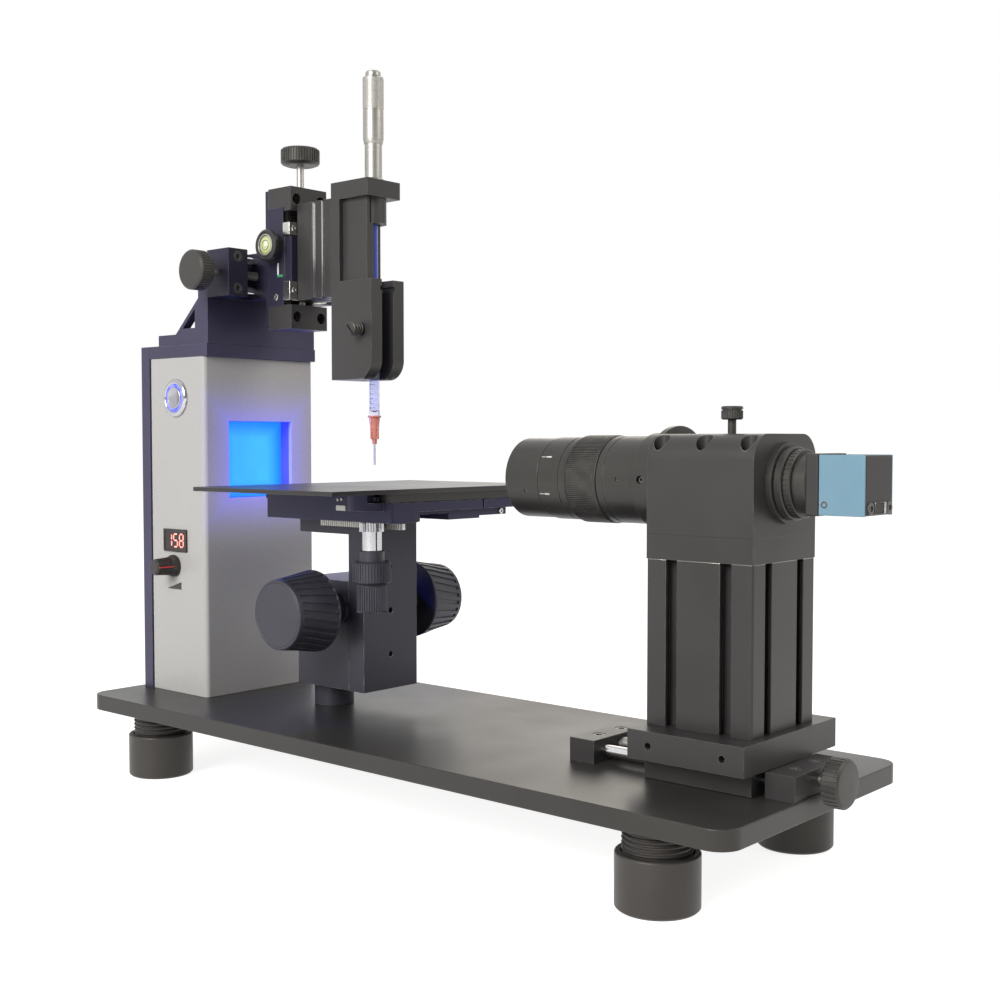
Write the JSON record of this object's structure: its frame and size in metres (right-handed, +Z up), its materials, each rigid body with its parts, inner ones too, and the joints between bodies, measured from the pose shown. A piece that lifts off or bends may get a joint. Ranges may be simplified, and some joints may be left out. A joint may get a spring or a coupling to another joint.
{
  "type": "contact angle goniometer",
  "caption": "Bench contact angle goniometer: lit tower with a syringe head, geared sample stage and a zoom lens camera on a column, all on one levelled base plate.",
  "frame": {"origin": "under the middle of the whole instrument, on the surface it stands on", "axes": "+X along the base plate from the light tower to the camera, +Y away from the controls' side, +Z up"},
  "size_m": [0.5176, 0.183, 0.4418],
  "materials": {
    "black_anodised": "black anodised, satin",
    "black_plate": "black anodised, fine satin",
    "black_plastic": "moulded, matt",
    "focus_plastic": "moulded, satin",
    "pearl_paint": "pearl grey paint, satin",
    "white_lining": "white, matt",
    "blue_diffuser": "lit blue, matt",
    "circuit_board": "green solder mask",
    "chrome_bezel": "polished",
    "brushed_cap": "brushed",
    "display_black": "smoked, glossy",
    "bright_steel": "ground",
    "dark_steel": "black oxide",
    "chrome_rod": "hard chromed",
    "satin_chrome": "satin",
    "black_enamel": "stoved enamel, satin",
    "violet_glass": "clear",
    "blue_rod": "glossy",
    "salmon_hub": "glossy",
    "needle_steel": "polished",
    "lens_glass": "coated",
    "blue_wrap": "light blue, satin"
  },
  "bodies": {
    "base": {"base_plate": "black_plate", "foot_studs": "black_plastic", "tower_shell": "pearl_paint", "tower_back_plate": "black_anodised", "tower_top_plate": "black_anodised", "light_box": "white_lining", "window_diffuser": "blue_diffuser", "electronics": "circuit_board", "power_switch_body": "chrome_bezel", "display_module": "display_black", "dc_inlet": "black_plastic", "tower_bracket": "black_anodised", "frame_screws": "dark_steel", "cross_slide_frame": "black_anodised", "slide_rods": "chrome_rod", "focus_block": "black_enamel", "rail_end_blocks": "black_anodised"},
    "foot_1": {"foot_cup_1": "black_plastic"},
    "foot_2": {"foot_cup_2": "black_plastic"},
    "foot_3": {"foot_cup_3": "black_plastic"},
    "foot_4": {"foot_cup_4": "black_plastic"},
    "button": {"power_button": "brushed_cap"},
    "dimmer": {"dimmer_knob": "black_plastic"},
    "cross_drive": {"cross_screw": "bright_steel", "cross_knob": "black_anodised"},
    "cross_slider": {"cross_carriage": "black_anodised", "z_slide_frame": "black_anodised", "bubble_level": "black_anodised"},
    "z_drive": {"z_screw": "bright_steel", "z_knob": "black_anodised"},
    "z_slider": {"z_carriage": "black_anodised", "carriage_clamps": "bright_steel", "syringe_holder": "black_anodised", "micrometer_sleeve": "satin_chrome", "syringe_barrel": "violet_glass", "needle_hub": "salmon_hub", "needle": "needle_steel"},
    "plunger": {"plunger_rod": "blue_rod"},
    "thimble": {"thimble": "satin_chrome"},
    "clamp_screw": {"syringe_clamp_screw": "dark_steel"},
    "lift": {"lift_arm": "black_enamel", "racks": "bright_steel"},
    "focus_drive": {"focus_shaft": "bright_steel", "focus_knobs": "focus_plastic"},
    "stage": {"stage_body": "black_enamel"},
    "stage_x_drive": {"stage_x_shaft": "satin_chrome", "stage_x_knob": "focus_plastic"},
    "stage_y_drive": {"stage_y_knob": "focus_plastic"},
    "sample_table": {"sample_plate": "black_plate"},
    "rail_drive": {"rail_screw": "bright_steel", "rail_knob": "black_anodised"},
    "rail_slider": {"rail_carriage": "black_anodised", "column": "black_anodised", "lens_block": "black_anodised", "lens_barrel": "black_anodised", "lens_elements": "lens_glass", "camera_adapter": "black_anodised", "camera_body": "blue_wrap"},
    "zoom": {"zoom_ring": "black_anodised"},
    "lens_clamp": {"lens_clamp_screw": "black_anodised"}
  },
  "joints": [
    {"name": "foot_1_height", "type": "slide", "parent": "base", "child": "foot_1", "axis": [0, 0, 1], "range_m": [-0.008, 0.008]},
    {"name": "foot_2_height", "type": "slide", "parent": "base", "child": "foot_2", "axis": [0, 0, 1], "range_m": [-0.008, 0.008]},
    {"name": "foot_3_height", "type": "slide", "parent": "base", "child": "foot_3", "axis": [0, 0, 1], "range_m": [-0.008, 0.008]},
    {"name": "foot_4_height", "type": "slide", "parent": "base", "child": "foot_4", "axis": [0, 0, 1], "range_m": [-0.008, 0.008]},
    {"name": "power_button_press", "type": "slide", "parent": "base", "child": "button", "axis": [0, 1, 0], "range_m": [0, 0.002], "stiffness_N_per_m": 900, "springref_m": -0.001},
    {"name": "dimmer_turn", "type": "hinge", "parent": "base", "child": "dimmer", "pos_m": [-0.2188, -0.046, 0.1335], "axis": [0, 1, 0], "range_deg": [-150, 150]},
    {"name": "cross_travel", "type": "slide", "parent": "base", "child": "cross_slider", "axis": [0, 1, 0], "range_m": [-0.013, 0.013]},
    {"name": "cross_knob_turn", "type": "hinge", "parent": "base", "child": "cross_drive", "pos_m": [-0.1708, 0, 0.3234], "axis": [0, 1, 0], "range_deg": [-4773.6, 4773.6]},
    {"name": "height_travel", "type": "slide", "parent": "cross_slider", "child": "z_slider", "axis": [0, 0, 1], "range_m": [-0.002, 0.007]},
    {"name": "height_knob_turn", "type": "hinge", "parent": "cross_slider", "child": "z_drive", "pos_m": [-0.1428, 0, 0.333], "axis": [0, 0, 1], "range_deg": [-2570.4, 2570.4]},
    {"name": "plunger_travel", "type": "slide", "parent": "z_slider", "child": "plunger", "axis": [0, 0, 1], "range_m": [-0.02, 0]},
    {"name": "thimble_turn", "type": "hinge", "parent": "plunger", "child": "thimble", "pos_m": [-0.0748, 0, 0.409], "axis": [0, 0, 1], "range_deg": [-14688, 14688]},
    {"name": "syringe_clamp_turn", "type": "hinge", "parent": "z_slider", "child": "clamp_screw", "pos_m": [-0.0723, -0.014, 0.28425], "axis": [0, 1, 0], "range_deg": [-180, 180]},
    {"name": "focus_travel", "type": "slide", "parent": "base", "child": "lift", "axis": [0, 0, 1], "range_m": [-0.012, 0.008]},
    {"name": "focus_knob_turn", "type": "hinge", "parent": "base", "child": "focus_drive", "pos_m": [-0.0858, 0, 0.114], "axis": [0, 1, 0], "range_deg": [-80, 80]},
    {"name": "stage_x_travel", "type": "slide", "parent": "lift", "child": "stage", "axis": [1, 0, 0], "range_m": [-0.01, 0.01]},
    {"name": "stage_x_knob_turn", "type": "hinge", "parent": "stage", "child": "stage_x_drive", "pos_m": [-0.0399, -0.036, 0.149], "axis": [0, 0, 1], "range_deg": [-90, 90]},
    {"name": "stage_y_travel", "type": "slide", "parent": "stage", "child": "sample_table", "axis": [0, 1, 0], "range_m": [-0.04, 0]},
    {"name": "stage_y_knob_turn", "type": "hinge", "parent": "stage", "child": "stage_y_drive", "pos_m": [-0.0399, -0.036, 0.129], "axis": [0, 0, 1], "range_deg": [-244, 4]},
    {"name": "rail_travel", "type": "slide", "parent": "base", "child": "rail_slider", "axis": [1, 0, 0], "range_m": [-0.034, 0.004]},
    {"name": "rail_knob_turn", "type": "hinge", "parent": "base", "child": "rail_drive", "pos_m": [0.2362, 0, 0.0554], "axis": [1, 0, 0], "range_deg": [-6242.4, 6242.4]},
    {"name": "zoom_turn", "type": "hinge", "parent": "rail_slider", "child": "zoom", "pos_m": [0.0922, 0, 0.1962], "axis": [1, 0, 0], "range_deg": [-60, 60]},
    {"name": "lens_clamp_turn", "type": "hinge", "parent": "rail_slider", "child": "lens_clamp", "pos_m": [0.1798, 0, 0.225], "axis": [0, 0, 1], "range_deg": [-360, 360]}
  ],
  "couplings": [
    {"joint": "cross_knob_turn", "follows": "cross_travel", "rad_per_m": -6283.2},
    {"joint": "height_knob_turn", "follows": "height_travel", "rad_per_m": -6283.2},
    {"joint": "thimble_turn", "follows": "plunger_travel", "rad_per_m": 12566},
    {"joint": "focus_knob_turn", "follows": "focus_travel", "rad_per_m": -111.11},
    {"joint": "stage_x_knob_turn", "follows": "stage_x_travel", "rad_per_m": 151.52},
    {"joint": "stage_y_knob_turn", "follows": "stage_y_travel", "rad_per_m": 104.17},
    {"joint": "rail_knob_turn", "follows": "rail_travel", "rad_per_m": -3141.6}
  ]
}
